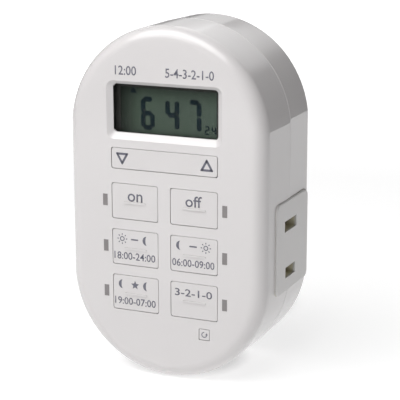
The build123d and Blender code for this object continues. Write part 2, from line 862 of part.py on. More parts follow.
# Screws
with BuildPart() as case_screws:
    with BuildSketch(back_layer(screw_seat_depth)):
        with Locations(*boss_places):
            Circle(screw_head_radius)
    extrude(amount=screw_head)
    with BuildSketch(layer(screw_seat_depth)):
        with Locations(*boss_places):
            Circle(screw_radius)
    extrude(amount=screw_length)
    with BuildSketch(layer(screw_seat_depth + screw_head)):
        with Locations(*boss_places):
            Rectangle(screw_slot_length, screw_slot_width)
            Rectangle(screw_slot_width, screw_slot_length)
    extrude(amount=screw_slot_depth, mode=Mode.SUBTRACT)
keep("case_screws", case_screws)

with BuildPart() as board_screws:
    for plane, places, grow in (
        (layer(display_board_back), pillar_places, 1),
        (layer(power_board_front), power_screw_places, -1),
    ):
        with BuildSketch(plane):
            with Locations(*places):
                Circle(board_screw_head_radius)
        extrude(amount=-grow * board_screw_head)
        with BuildSketch(plane):
            with Locations(*places):
                Circle(board_screw_radius)
        extrude(amount=grow * board_screw_length)
keep("board_screws", board_screws)

os.makedirs("parts", exist_ok=True)
for name, piece in pieces.items():
    export_step(piece, "parts/" + name + ".step")
print(len(pieces), "pieces written")
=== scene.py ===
# %% [markdown]
# # A plug-in timer, dressed for its portrait
#
# The real object is an oval white case that hangs on a wall outlet. Its shapes come packed from
# CAD and are never moved here. This script gives every piece its finish, prints the marks on the
# keys, draws the digits of the display, and sets up the camera, the floor and the lights.

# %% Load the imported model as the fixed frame
import json
from math import cos, pi, radians, sin, tan

import bpy
from mathutils import Matrix, Vector

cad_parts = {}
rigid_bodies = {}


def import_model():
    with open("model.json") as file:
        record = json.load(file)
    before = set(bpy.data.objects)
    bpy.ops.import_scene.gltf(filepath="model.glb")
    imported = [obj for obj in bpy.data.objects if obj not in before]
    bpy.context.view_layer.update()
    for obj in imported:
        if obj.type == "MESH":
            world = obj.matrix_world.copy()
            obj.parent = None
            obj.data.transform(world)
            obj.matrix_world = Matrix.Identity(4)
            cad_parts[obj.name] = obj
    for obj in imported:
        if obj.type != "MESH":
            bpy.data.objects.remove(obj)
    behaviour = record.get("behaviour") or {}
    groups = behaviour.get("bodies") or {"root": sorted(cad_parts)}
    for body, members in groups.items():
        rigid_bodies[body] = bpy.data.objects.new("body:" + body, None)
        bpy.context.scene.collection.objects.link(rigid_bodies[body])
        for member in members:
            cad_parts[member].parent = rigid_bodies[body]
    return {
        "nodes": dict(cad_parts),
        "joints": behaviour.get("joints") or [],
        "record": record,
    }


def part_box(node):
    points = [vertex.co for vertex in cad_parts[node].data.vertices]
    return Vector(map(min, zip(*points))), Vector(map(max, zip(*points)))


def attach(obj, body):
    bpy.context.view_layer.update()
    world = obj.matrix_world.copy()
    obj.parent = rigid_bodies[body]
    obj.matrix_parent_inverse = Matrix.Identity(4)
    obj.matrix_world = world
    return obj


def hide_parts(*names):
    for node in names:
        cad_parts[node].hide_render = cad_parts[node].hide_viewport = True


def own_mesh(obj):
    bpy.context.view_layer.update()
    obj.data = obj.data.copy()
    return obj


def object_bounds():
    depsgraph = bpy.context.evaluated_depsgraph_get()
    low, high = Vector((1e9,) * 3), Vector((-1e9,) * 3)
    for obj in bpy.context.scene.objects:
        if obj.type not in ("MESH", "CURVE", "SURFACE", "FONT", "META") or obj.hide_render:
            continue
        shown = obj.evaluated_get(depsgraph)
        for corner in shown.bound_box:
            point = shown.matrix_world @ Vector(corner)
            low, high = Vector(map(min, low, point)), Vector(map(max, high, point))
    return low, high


for starter in list(bpy.data.objects):
    bpy.data.objects.remove(starter)
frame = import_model()
cad_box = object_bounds()
bpy.ops.object.select_all(action="DESELECT")
print("pieces loaded:", len(frame["nodes"]))

# %% [markdown]
# ## Where things are
#
# The frame is in metres, but a maker of small things thinks in millimetres. The front cover gives
# the two facts that place everything else: how far forward its face is, and how high the middle of
# the oval lies. A place on the face is then a distance to the right and a height over that middle.

# %% Measure the face
MM = 0.001
cover_low, cover_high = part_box("front_cover")
face_y = cover_low.y
middle_z = (cover_low.z + cover_high.z) / 2
floor_z = cad_box[0].z


def on_face(x, rise, depth=0.0):
    """Millimetres right, up from the oval's middle and back from the face, as a place in metres."""
    return Vector((x * MM, face_y + depth * MM, middle_z + rise * MM))


print("face at y", round(face_y / MM, 2), "mm, middle at z", round(middle_z / MM, 2), "mm")

# %% [markdown]
# ## The camera
#
# The photograph was taken from the right and a little above, through a fairly long lens, so the
# long sides stay almost parallel. Three turns say it all: round the object, down towards it, and
# a trace of roll. They are multiplied in that order, which is easier to trust than guessed angles.

# %% Add the camera
CAMERA_PLACE = Vector((154.28, -359.79, 70.5)) * MM
CAMERA_ROUND = radians(23.77)
CAMERA_DOWN = radians(13.76)
CAMERA_ROLL = radians(-0.1)
CAMERA_LENS = 129.2
CAMERA_SENSOR = 36.0
CAMERA_NEAREST = 0.01

bpy.ops.object.camera_add(location=CAMERA_PLACE)
camera = bpy.context.object
camera.name = "camera"
camera.rotation_euler = (
    Matrix.Rotation(CAMERA_ROUND, 3, "Z")
    @ Matrix.Rotation(pi / 2 - CAMERA_DOWN, 3, "X")
    @ Matrix.Rotation(CAMERA_ROLL, 3, "Z")
).to_euler()
camera.data.sensor_width = CAMERA_SENSOR
camera.data.lens = CAMERA_LENS
camera.data.clip_start = CAMERA_NEAREST
bpy.context.scene.camera = camera
print("camera stands", round((CAMERA_PLACE - on_face(0, 0)).length, 3), "m from the face")

# %% [markdown]
# ## Finishes as sums
#
# A shader is a little sum: some noise, a bit darker here, a bit rougher there. Wiring that by hand
# hides the sum in boxes, so `Out` lets it be written down. It wraps one output socket, and plus,
# minus and times on it add the Math nodes. Everything that isn't arithmetic goes through one
# method, `Finish.add`, which sets a node's own settings first and its sockets after.


# %% Write shader sums as Python
class Out:
    """One output socket, on which arithmetic adds Math nodes."""

    def __init__(self, finish, socket):
        self.finish, self.socket = finish, socket

    def math(self, operation, first, second):
        return self.finish.add("ShaderNodeMath", {"operation": operation}, {0: first, 1: second})

    def __add__(self, other):
        return self.math("ADD", self, other)

    def __radd__(self, other):
        return self.math("ADD", other, self)

    def __sub__(self, other):
        return self.math("SUBTRACT", self, other)

    def __rsub__(self, other):
        return self.math("SUBTRACT", other, self)

    def __mul__(self, other):
        return self.math("MULTIPLY", self, other)

    def __rmul__(self, other):
        return self.math("MULTIPLY", other, self)


class Finish:
    """A material that is written down as sums of sockets."""

    def __init__(self, name):
        self.material = bpy.data.materials.new(name)
        self.material.use_nodes = True
        self.tree = self.material.node_tree
        self.shader = self.tree.nodes["Principled BSDF"]
        self.place = self.add("ShaderNodeTexCoord", output="Object")

    def add(self, kind, settings=None, sockets=None, output=0):
        """Add a node with its settings and the values or links of its sockets."""
        node = self.tree.nodes.new(kind)
        for setting, value in (settings or {}).items():
            setattr(node, setting, value)
        for key, value in (sockets or {}).items():
            self.fill(node.inputs[key], value)
        return Out(self, node.outputs[output])

    def fill(self, socket, value):
        """Link a socket to an output, or give it a plain value."""
        if isinstance(value, Out):
            self.tree.links.new(value.socket, socket)
        elif socket.type == "RGBA":
            socket.default_value = (*value, 1.0)
        else:
            socket.default_value = value

    def noise(self, size, detail=2.0, stretch=(1.0, 1.0, 1.0)):
        """Cloudy noise with lumps of about this size in millimetres, from 0 to 1."""
        spread = self.add("ShaderNodeMapping", {}, {"Vector": self.place, "Scale": stretch})
        return self.add(
            "ShaderNodeTexNoise", {}, {"Vector": spread, "Scale": 1 / (size * MM), "Detail": detail}
        )

    def distance(self, x, y):
        """Distance in metres from a place on the ground, which is given in millimetres."""
        ends = {0: self.place, 1: (x * MM, y * MM, 0)}
        return self.add("ShaderNodeVectorMath", {"operation": "DISTANCE"}, ends, output="Value")

    def sideways(self, turn):
        """Distance in metres from the origin's upright plane that is turned by this angle."""
        sockets = {"Vector": self.place, "Rotation": (0, 0, turn)}
        turned = self.add("ShaderNodeMapping", {"vector_type": "TEXTURE"}, sockets)
        across = self.add("ShaderNodeSeparateXYZ", {}, {0: turned}, output="X")
        return across.math("ABSOLUTE", across, 0.0)

    def climb(self, length, start, end):
        """A value that climbs from 0 to 1 while a length goes from one to another, in millimetres."""
        limits = {"From Min": start * MM, "From Max": end * MM}
        return self.add("ShaderNodeMapRange", {}, {"Value": length, **limits})

    def rise(self, axis, start, end):
        """A value that climbs from 0 to 1 between two places in millimetres along an axis."""
        along = self.add("ShaderNodeSeparateXYZ", {}, {0: self.place}, output=axis)
        return self.climb(along, start, end)

    def blend(self, amount, low, high):
        """A colour between two, by an amount from 0 to 1."""
        sockets = {0: amount, 6: low, 7: high}
        return self.add("ShaderNodeMix", {"data_type": "RGBA"}, sockets, output=2)

    def bump(self, height, depth):
        """A surface that stands up by this many millimetres where the height is 1."""
        sockets = {"Height": height, "Strength": 1.0, "Distance": depth * MM}
        return self.add("ShaderNodeBump", {}, sockets)

    def surface(self, **sockets):
        """Set the shader's sockets, named with an underscore for each space."""
        for name, value in sockets.items():
            self.fill(self.shader.inputs[name.replace("_", " ")], value)
        return self.material


def dress_node(finish, node_name):
    """Give a finish to one CAD node."""
    node = frame["nodes"][node_name]
    node.data.materials.clear()
    node.data.materials.append(finish)


def dress(finish, slot_name):
    """Give a finish to every CAD node whose material slot has this name in the record."""
    rows = [row for row in frame["record"]["subparts"] if row["material_slot"] == slot_name]
    for row in rows:
        dress_node(finish, row["node"])
    print(slot_name, "dresses", len(rows), "pieces")


# %% [markdown]
# ## Moulded plastic
#
# The case and the keys are injection moulded. Such plastic is never one flat colour: it clouds a
# little where it cooled slowly, and its skin has a very fine grain that softens the highlights.
# One recipe with a colour, a gloss and a grain serves every moulded piece, so they look related.

# %% Recipe for moulded plastic
CLOUD_SIZE = 22.0
GRAIN_SIZE = 0.35


def moulded(name, shade, lit, roughness, grain_depth=0.004):
    """Plastic whose colour clouds between a shaded and a lit tone, with a fine grain."""
    finish = Finish(name)
    cloud = finish.noise(CLOUD_SIZE, 3.0)
    grain = finish.noise(GRAIN_SIZE)
    return finish.surface(
        Base_Color=finish.blend(cloud, shade, lit),
        Roughness=roughness - 0.04 + 0.08 * cloud,
        Normal=finish.bump(grain, grain_depth),
        IOR=1.5,
    )


dress(moulded("case_plastic", (0.62, 0.60, 0.60), (0.65, 0.63, 0.63), 0.14, 0.002), "case_white")
dress(moulded("key_plastic", (0.61, 0.59, 0.59), (0.64, 0.62, 0.62), 0.18, 0.002), "key_white")
dress(moulded("socket_plastic", (0.55, 0.49, 0.38), (0.63, 0.57, 0.45), 0.42), "socket_beige")
dress(moulded("frame_plastic", (0.10, 0.10, 0.10), (0.14, 0.14, 0.14), 0.4), "inner_plastic")
dress(moulded("black_plastic", (0.02, 0.02, 0.022), (0.035, 0.035, 0.04), 0.35), "inner_black")
silicone = moulded("silicone", (0.30, 0.30, 0.31), (0.37, 0.37, 0.38), 0.6, 0.008)
dress(silicone, "rubber_grey")
dress(moulded("relay_plastic", (0.03, 0.11, 0.33), (0.045, 0.15, 0.40), 0.28), "relay_blue")
dress(moulded("capacitor_wrap", (0.62, 0.46, 0.08), (0.72, 0.56, 0.13), 0.3), "capacitor_yellow")
dress(moulded("varistor_coat", (0.06, 0.16, 0.36), (0.09, 0.22, 0.45), 0.32, 0.02), "varistor_blue")
dress(moulded("resistor_coat", (0.44, 0.36, 0.24), (0.54, 0.45, 0.32), 0.5, 0.02), "resistor_sand")
dress(moulded("led_resin", (0.80, 0.76, 0.55), (0.88, 0.86, 0.70), 0.2), "led_body")

# %% [markdown]
# ## The side outlet's faceplate
#
# The faceplate is the same white outside, but inside its slots the moulding shows a sandy tone,
# with some grey where blades have rubbed. Its own place along X tells inside from outside: the
# white ends about half a millimetre under the skin.

# %% Faceplate with sandy slots
WHITE_END = 28.1
SANDY_START = 27.8

plate = Finish("plate_plastic")
plate_cloud = plate.noise(CLOUD_SIZE, 3.0)
rubbed = plate.noise(1.5, 3.0)
white_plate = plate.blend(plate_cloud, (0.58, 0.565, 0.56), (0.61, 0.595, 0.59))
sandy_slot = plate.blend(rubbed, (0.58, 0.55, 0.42), (0.74, 0.71, 0.57))
plate_finish = plate.surface(
    Base_Color=plate.blend(plate.rise("X", WHITE_END, SANDY_START), white_plate, sandy_slot),
    Roughness=0.2 + 0.1 * plate_cloud,
    IOR=1.5,
)
dress_node(plate_finish, "outlet_faceplate")
print("faceplate dressed")

# %% [markdown]
# ## Lamp windows and the clear window
#
# The small lamps sit behind smoky grey light guides that look solid when they are off. The display
# lies behind a clear sheet. Real refraction would cost much light and noise in a recess this small,
# so the sheet is mostly see-through by its Alpha and keeps only a little of its shine.

# %% Smoky and clear plastic
lamp_smoke = Finish("lamp_smoke")
smoke_cloud = lamp_smoke.noise(1.6)
dress(
    lamp_smoke.surface(
        Base_Color=lamp_smoke.blend(smoke_cloud, (0.175, 0.162, 0.162), (0.238, 0.22, 0.22)),
        Roughness=0.28 + 0.1 * smoke_cloud,
        Coat_Roughness=0.15,
        Coat_Weight=0.3,
    ),
    "lamp_grey",
)

window_sheet = Finish("window_sheet")
wipe_marks = window_sheet.noise(9.0, 3.0, (1.0, 1.0, 2.5))
dress(
    window_sheet.surface(
        Base_Color=(0.02, 0.025, 0.02),
        Roughness=0.06 + 0.06 * wipe_marks,
        Alpha=0.05 + 0.04 * wipe_marks,
        IOR=1.6,
    ),
    "clear_window",
)

# %% [markdown]
# ## The display's glass
#
# A reflective liquid-crystal panel is a greenish grey, a little bluer and lighter in the middle.
# Its surface shows faint upright bands, because its electrodes lie in columns. Noise that is
# stretched upright gives those, and a second, large noise moves the colour from green to grey. The
# walls at the left and the top shade the glass, so the colour is multiplied by 1 minus each shade.

# %% Greenish panel
BAND_STRENGTH = 0.3
LEFT_SHADE = (-7.0, -13.8)
LEFT_SHADE_DEPTH = 0.88
TOP_SHADE = (7.5, 12.0)
TOP_SHADE_DEPTH = 0.4

panel = Finish("lcd_surface")
columns = panel.noise(1.1, 1.0, (1.0, 1.0, 0.08))
drift = panel.noise(12.0)
panel_colour = panel.blend(drift, (0.070, 0.104, 0.072), (0.084, 0.113, 0.094))
banded_colour = panel.blend(BAND_STRENGTH * columns, panel_colour, (0.042, 0.062, 0.048))
left_shade = LEFT_SHADE_DEPTH * panel.rise("X", *LEFT_SHADE)
top_shade = TOP_SHADE_DEPTH * panel.rise("Z", *TOP_SHADE)
daylight = (1 - left_shade) * (1 - top_shade)
dress(
    panel.surface(
        Base_Color=panel.blend(daylight, (0.0, 0.0, 0.0), banded_colour),
        Roughness=0.3 + 0.1 * drift,
        Specular_IOR_Level=0.1,
    ),
    "lcd_panel",
)

# %% [markdown]
# ## Domes that give way
#
# Behind each key sits a dome of soft rubber. When the key goes in, the dome is squeezed flat. Each
# dome is turned here as a small cone with a rounded front edge, and takes the place of its CAD node.

# %% Turn the domes
DOME_WALL_ANGLE = radians(24)
DOME_ROUNDING = 0.2
DOME_ROUNDING_STEPS = 3
DOME_CORNERS = 48
SMOOTH_ANGLE = radians(35)

for joint in frame["joints"]:
    if joint["type"] == "slide":
        node_name = joint["child"].replace("key", "dome")
        low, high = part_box(node_name)
        radius, tall = (high.x - low.x) / 2, high.y - low.y
        bpy.ops.object.select_all(action="DESELECT")
        bpy.ops.mesh.primitive_cone_add(
            vertices=DOME_CORNERS, depth=tall, location=(low + high) / 2, rotation=(pi / 2, 0, 0),
            radius1=radius, radius2=radius - tall * tan(DOME_WALL_ANGLE),
        )
        dome = bpy.context.object
        dome.name = "soft_" + node_name
        bpy.ops.object.transform_apply()
        bpy.ops.object.modifier_add(type="BEVEL")
        dome.modifiers["Bevel"].width = DOME_ROUNDING * MM
        dome.modifiers["Bevel"].segments = DOME_ROUNDING_STEPS
        dome.modifiers["Bevel"].limit_method = "ANGLE"
        bpy.ops.object.modifier_apply(modifier="Bevel")
        bpy.ops.object.shade_smooth_by_angle(angle=SMOOTH_ANGLE)
        dome.data.materials.append(silicone)
        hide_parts(node_name)
        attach(dome, "timer")
        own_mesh(dome)

# %% [markdown]
# ## Metal
#
# The blades and the contacts are stamped from brass strip, the screws and clips from plated steel.
# Stamped metal has fine lines along the way it was rolled. Noise stretched along one axis draws
# them, and it changes the roughness more than the colour, as on the real thing.

# %% Recipe for rolled metal
LINE_SIZE = 0.25
TARNISH_SIZE = 6.0


def rolled_metal(name, shade, lit, roughness, stretch):
    """Metal with fine lines along the axis where the stretch is small."""
    finish = Finish(name)
    lines = finish.noise(LINE_SIZE, 3.0, stretch)
    tarnish = finish.noise(TARNISH_SIZE, 3.0)
    return finish.surface(
        Base_Color=finish.blend(tarnish, shade, lit),
        Metallic=1.0,
        Roughness=roughness + 0.14 * lines + 0.05 * tarnish,
        Normal=finish.bump(lines, 0.003),
    )


METALS = {
    "blade_brass": ("blade_metal", (0.72, 0.56, 0.30), (0.82, 0.68, 0.42), 0.22, (1, 0.05, 1)),
    "brass": ("contact_metal", (0.70, 0.50, 0.22), (0.80, 0.62, 0.32), 0.26, (0.05, 1, 1)),
    "bright_metal": ("bright_plate", (0.62, 0.62, 0.62), (0.74, 0.74, 0.73), 0.2, (0.1, 1, 1)),
    "screw_steel": ("zinc_plate", (0.48, 0.48, 0.50), (0.60, 0.60, 0.60), 0.3, (1, 0.3, 1)),
}
for slot_name, recipe in METALS.items():
    dress(rolled_metal(*recipe), slot_name)

# %% [markdown]
# ## The boards
#
# A circuit board is woven glass under green lacquer. The weave just shows as a faint square grid,
# and copper paths under the lacquer are lighter lines. A brick pattern gives straight paths with
# joints, which reads as tracks at this size without drawing a real circuit.

# %% Green lacquered board
TRACK_PITCH = 9.0

board = Finish("board_lacquer")
board_plane = board.add("ShaderNodeMapping", {}, {"Vector": board.place, "Rotation": (pi / 2, 0, 0)})
track_sizes = {"Scale": 1 / (TRACK_PITCH * MM), "Mortar Size": 0.03, "Row Height": 0.28}
track_sockets = {"Vector": board_plane, **track_sizes}
tracks = board.add("ShaderNodeTexBrick", {"offset": 0.35}, track_sockets, output="Fac")
weave = board.noise(0.8)
dress(
    board.surface(
        Base_Color=board.blend(tracks, (0.018, 0.11, 0.045), (0.05, 0.22, 0.09)),
        Roughness=0.24 + 0.12 * weave,
        Normal=board.bump(tracks + 0.2 * weave, 0.02),
    ),
    "board_green",
)

# %% [markdown]
# ## Printing on the plastic
#
# The marks are pad-printed ink: a film a few hundredths of a millimetre thick, in a soft slate
# grey. They could be painted by a material, but ink that is modelled stays sharp at any size and
# moves with its key. Each mark is drawn flat on the ground first, like on paper, then stood up
# against the face by one function. All the drawing tools below work in millimetres on that paper.

# %% Ink and the drawing tools
INK_FILM = 0.02
LETTER_WEIGHT = 0.008
LETTER_CURVE_STEPS = 3
SAME_POINT = 0.002

ink = Finish("slate_ink")
ink_wear = ink.noise(0.5, 3.0)
ink_finish = ink.surface(
    Base_Color=ink.blend(ink_wear, (0.105, 0.105, 0.135), (0.17, 0.17, 0.21)),
    Roughness=0.45 + 0.15 * ink_wear,
)


def pick(piece, wanted):
    """In edit mode, select the vertices whose place in millimetres passes the test."""
    bpy.ops.object.mode_set(mode="OBJECT")
    mesh = piece.data
    mesh.polygons.foreach_set("select", [False] * len(mesh.polygons))
    mesh.edges.foreach_set("select", [False] * len(mesh.edges))
    mesh.vertices.foreach_set("select", [wanted(v.co / MM) for v in mesh.vertices])
    bpy.ops.object.mode_set(mode="EDIT")


def disc(x, y, radius, corners=32, turn=0.0):
    """A flat disc, or with few corners a triangle or a square, on the paper."""
    place = (x * MM, y * MM, 0)
    bpy.ops.object.select_all(action="DESELECT")
    bpy.ops.mesh.primitive_circle_add(
        vertices=corners, radius=radius * MM, fill_type="NGON", location=place, rotation=(0, 0, turn)
    )
    bpy.ops.object.transform_apply()
    return bpy.context.object


def outline(x, y, radius, stroke, corners=32):
    """A closed line of this stroke, drawn inwards from a disc's edge."""
    line = disc(x, y, radius, corners)
    pick(line, lambda place: True)
    bpy.ops.mesh.inset(thickness=stroke * MM)
    bpy.ops.mesh.delete(type="FACE")
    bpy.ops.object.mode_set(mode="OBJECT")
    return line


def bar(x, y, length, width, upright=False):
    """A straight stroke with pointed ends, like a display's segment or a fine ray."""
    point = width / 2 / sin(pi / 3)
    stroke = disc(0, 0, point, corners=6, turn=pi / 2)
    for side in (1, -1):
        pick(stroke, lambda place: place.x * side > 0)
        bpy.ops.transform.translate(value=(side * (length / 2 - point) * MM, 0, 0))
    bpy.ops.object.mode_set(mode="OBJECT")
    stroke.rotation_euler.z = pi / 2 if upright else 0
    stroke.location = (x * MM, y * MM, 0)
    bpy.ops.object.transform_apply()
    return stroke


def lettering(words, left, right, base, top):
    """Plain lettering that fills this box on the paper."""
    bpy.ops.object.select_all(action="DESELECT")
    bpy.ops.object.text_add()
    writing = bpy.context.object
    writing.data.body = words
    writing.data.size = (top - base) * MM
    writing.data.offset = LETTER_WEIGHT * writing.data.size
    writing.data.resolution_u = LETTER_CURVE_STEPS
    bpy.ops.object.convert(target="MESH")
    writing = bpy.context.object
    low = [min(v.co[i] for v in writing.data.vertices) for i in (0, 1)]
    high = [max(v.co[i] for v in writing.data.vertices) for i in (0, 1)]
    across = (right - left) * MM / (high[0] - low[0])
    up = (top - base) * MM / (high[1] - low[1])
    writing.scale = (across, up, 1)
    writing.location = (left * MM - low[0] * across, base * MM - low[1] * up, 0)
    bpy.ops.object.transform_apply()
    pick(writing, lambda place: True)
    bpy.ops.mesh.remove_doubles(threshold=SAME_POINT * MM)
    bpy.ops.object.mode_set(mode="OBJECT")
    return writing


def lay(parts, name, body, depth=0.0, film=INK_FILM, finish=ink_finish):
    """Join flat drawings into one film, stand it up on the face at a depth, and let it ride."""
    bpy.ops.object.select_all(action="DESELECT")
    for part in parts:
        part.select_set(True)
    bpy.context.view_layer.objects.active = parts[0]
    bpy.ops.object.join()
    piece = bpy.context.object
    piece.name = name
    bpy.ops.object.modifier_add(type="SOLIDIFY")
    piece.modifiers["Solidify"].thickness = 2 * film * MM
    piece.modifiers["Solidify"].offset = 0
    bpy.ops.object.modifier_apply(modifier="Solidify")
    piece.rotation_euler.x = pi / 2
    piece.location = on_face(0, 0, depth)
    bpy.ops.object.transform_apply()
    piece.data.materials.clear()
    piece.data.materials.append(finish)
    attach(piece, body)
    print(name, "rides on", body, "with", len(piece.data.polygons), "faces")


print("ink film", INK_FILM, "mm thick")

# %% [markdown]
# ## The rocker's two arrows
#
# The long rocker under the display has an open triangle at each end, pointing down on the left and
# up on the right. A triangle is a circle with three corners. A bevel rounds them, and an inset
# turns the shape into a line.

# %% Print the arrows
ARROW_RADIUS = 2.25
ARROW_STROKE = 0.6
ARROW_ROUNDING = 0.45
ARROW_ROUNDING_STEPS = 4
DOWN_ARROW = (-11.95, 12.4)
UP_ARROW = (12.12, 11.7)


def arrow(x, y, turn):
    """An open triangle with rounded corners."""
    shape = disc(x, y, ARROW_RADIUS, corners=3, turn=turn)
    pick(shape, lambda place: True)
    bpy.ops.mesh.bevel(offset=ARROW_ROUNDING * MM, segments=ARROW_ROUNDING_STEPS, affect="VERTICES")
    bpy.ops.mesh.select_all(action="SELECT")
    bpy.ops.mesh.inset(thickness=ARROW_STROKE * MM)
    bpy.ops.mesh.delete(type="FACE")
    bpy.ops.object.mode_set(mode="OBJECT")
    return shape


lay([arrow(*DOWN_ARROW, pi)], "print_down", "rocker")
lay([arrow(*UP_ARROW, 0.0)], "print_up", "rocker")

# %% [markdown]
# ## Words and numbers
#
# The two switching keys say on and off. The other keys carry plain numbers for the hours that they
# cover, and two numbers stand over the display. All of them are text objects that became meshes,
# because only a mesh can be fitted to an exact box and given the thickness of ink. A box is written
# as its left, right, base and top.

# %% Print the lettering
CLOCK_BOX = (-13.7, -7.6, 34.0, 36.4)
SCALE_BOX = (0.6, 14.1, 34.0, 36.4)
ON_BOX = (-10.5, -6.2, 0.6, 2.8)
OFF_BOX = (6.1, 10.7, 0.8, 3.8)

lay([lettering("12:00", *CLOCK_BOX)], "print_clock_time", "timer")
lay([lettering("5-4-3-2-1-0", *SCALE_BOX)], "print_countdown_scale", "timer")
lay([lettering("on", *ON_BOX)], "print_on", "key_on")
lay([lettering("off", *OFF_BOX)], "print_off", "key_off")

# %% [markdown]
# ## Little pictures for the times of day
#
# Evening goes from sun to moon, morning from moon to sun, and all night is a star between two
# moons. A moon is a disc whose right half is folded inwards, a star is a disc with every second
# corner pulled in, and a sun is a ring with rays. Each is one small function on the paper.


# %% Draw moon, star and sun
ICON_RADIUS = 1.25
MOON_FOLD = 0.35
STAR_WAIST = 0.45
SUN_RING = 0.55 * ICON_RADIUS
SUN_STROKE = 0.26
RAYS = 8
RAY_LENGTH = 0.5
RAY_WIDTH = 0.28


def moon(x, y):
    """A crescent that opens to the right."""
    shape = disc(x, y, ICON_RADIUS)
    pick(shape, lambda place: place.x > x + 0.01)
    bpy.ops.transform.resize(value=(-MOON_FOLD, 1, 1), center_override=(x * MM, y * MM, 0))
    bpy.ops.object.mode_set(mode="OBJECT")
    return shape


def star(x, y):
    """A star with five points."""
    shape = disc(x, y, ICON_RADIUS, corners=10)
    inner = [v.index for v in shape.data.vertices if v.index % 2]
    pick(shape, lambda place: False)
    bpy.ops.object.mode_set(mode="OBJECT")
    for index in inner:
        shape.data.vertices[index].select = True
    bpy.ops.object.mode_set(mode="EDIT")
    waist = (STAR_WAIST, STAR_WAIST, 1)
    bpy.ops.transform.resize(value=waist, center_override=(x * MM, y * MM, 0))
    bpy.ops.object.mode_set(mode="OBJECT")
    return shape


def sun(x, y):
    """A ring with rays."""
    shapes = [outline(x, y, SUN_RING, SUN_STROKE, corners=20)]
    for number in range(RAYS):
        turn = number * 2 * pi / RAYS
        ray = bar(0, 0, RAY_LENGTH, RAY_WIDTH)
        ray.rotation_euler.z = turn
        ray.location = ((x + ICON_RADIUS * cos(turn)) * MM, (y + ICON_RADIUS * sin(turn)) * MM, 0)
        bpy.ops.object.transform_apply()
        shapes.append(ray)
    return shapes


print("icons are", 2 * ICON_RADIUS, "mm wide")

# %% Print the time keys
LEFT_KEY = -8.65
RIGHT_KEY = 8.25
ICON_GAP = 3.6
DASH = (2.2, 0.4)
ROW_PICTURES = -9.7
ROW_NUMBERS = -15.3
NUMBER_HEIGHT = 2.0
NUMBERS_HALF_WIDTH = 6.0
ROW_PITCH = 12.5
COUNTDOWN_BOX = (3.0, 13.6, -23.4, -21.4)


def hours(words, middle, row):
    """A line of numbers in the lower half of a key."""
    base = ROW_NUMBERS - row * ROW_PITCH
    left, right = middle - NUMBERS_HALF_WIDTH, middle + NUMBERS_HALF_WIDTH
    return lettering(words, left, right, base, base + NUMBER_HEIGHT)


evening = [*sun(LEFT_KEY - ICON_GAP, ROW_PICTURES), bar(LEFT_KEY, ROW_PICTURES, *DASH)]
evening += [moon(LEFT_KEY + ICON_GAP, ROW_PICTURES), hours("18:00-24:00", LEFT_KEY, 0)]
lay(evening, "print_evening", "key_evening")

morning = [moon(RIGHT_KEY - ICON_GAP, ROW_PICTURES), bar(RIGHT_KEY, ROW_PICTURES, *DASH)]
morning += [*sun(RIGHT_KEY + ICON_GAP, ROW_PICTURES), hours("06:00-09:00", RIGHT_KEY, 0)]
lay(morning, "print_morning", "key_morning")

night_row = ROW_PICTURES - ROW_PITCH
all_night = [moon(LEFT_KEY - ICON_GAP, night_row), star(LEFT_KEY, night_row)]
all_night += [moon(LEFT_KEY + ICON_GAP, night_row), hours("19:00-07:00", LEFT_KEY, 1)]
lay(all_night, "print_all_night", "key_all_night")

lay([lettering("3-2-1-0", *COUNTDOWN_BOX)], "print_countdown", "key_countdown")

# %% [markdown]
# ## The reset mark
#
# The smallest key carries a round arrow. It is a ring with a quarter taken out, and a triangle put
# on one of the ends that this leaves.

# %% Print the round arrow
RESET_X = 11.35
RESET_RISE = -33.3
RING_RADIUS = 0.8
RING_STROKE = 0.24
RING_CUT = 0.1
HEAD_LIFT = 0.15
HEAD_RADIUS = 0.42

round_arrow = outline(RESET_X, RESET_RISE, RING_RADIUS, RING_STROKE)
pick(round_arrow, lambda place: place.x > RESET_X + RING_CUT and place.y > RESET_RISE + RING_CUT)
bpy.ops.mesh.delete(type="VERT")
bpy.ops.object.mode_set(mode="OBJECT")
head_x = RESET_X + RING_RADIUS - RING_STROKE / 2
arrow_head = disc(head_x, RESET_RISE + HEAD_LIFT, HEAD_RADIUS, corners=3)
lay([round_arrow, arrow_head], "print_reset", "key_reset")

# %% [markdown]
# ## What the display shows
#
# Digits of a liquid-crystal display are made of seven pointed bars. They lie on the front of the
# glass, under the clear sheet. A figure is a list of the bars that are dark. The same function
# draws the large time and the two small figures at the right.

# %% Draw the figures
glass_depth = (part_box("lcd_glass")[0].y - face_y) / MM
SEGMENT_FILM = 0.02
SEGMENTS = {"2": "abged", "4": "fgbc", "6": "afgedc", "7": "abc"}

segment_ink = Finish("lcd_dark")
segment_fade = segment_ink.noise(2.5, 1.0)
segment_finish = segment_ink.surface(
    Base_Color=segment_ink.blend(segment_fade, (0.002, 0.009, 0.013), (0.007, 0.019, 0.026)),
    Roughness=0.3 + 0.1 * segment_fade,
    Specular_IOR_Level=0.1,
)


def figure(name, left, base, width, height, thick):
    """The dark bars of one figure, in a box on the paper."""
    right, top, half = left + width, base + height, height / 2
    inset = thick / 2
    across, up = width - thick, half - thick / 2
    middle_x = left + width / 2
    bars = {
        "a": (middle_x, top - inset, across, False),
        "g": (middle_x, base + half, across, False),
        "d": (middle_x, base + inset, across, False),
        "f": (left + inset, base + 0.75 * height - inset / 2, up, True),
        "b": (right - inset, base + 0.75 * height - inset / 2, up, True),
        "e": (left + inset, base + 0.25 * height + inset / 2, up, True),
        "c": (right - inset, base + 0.25 * height + inset / 2, up, True),
    }
    drawn = []
    for key, (x, y, length, upright) in bars.items():
        if key in SEGMENTS[name]:
            drawn.append(bar(x, y, length, thick, upright))
    return drawn


print("figures that can be drawn:", *SEGMENTS)

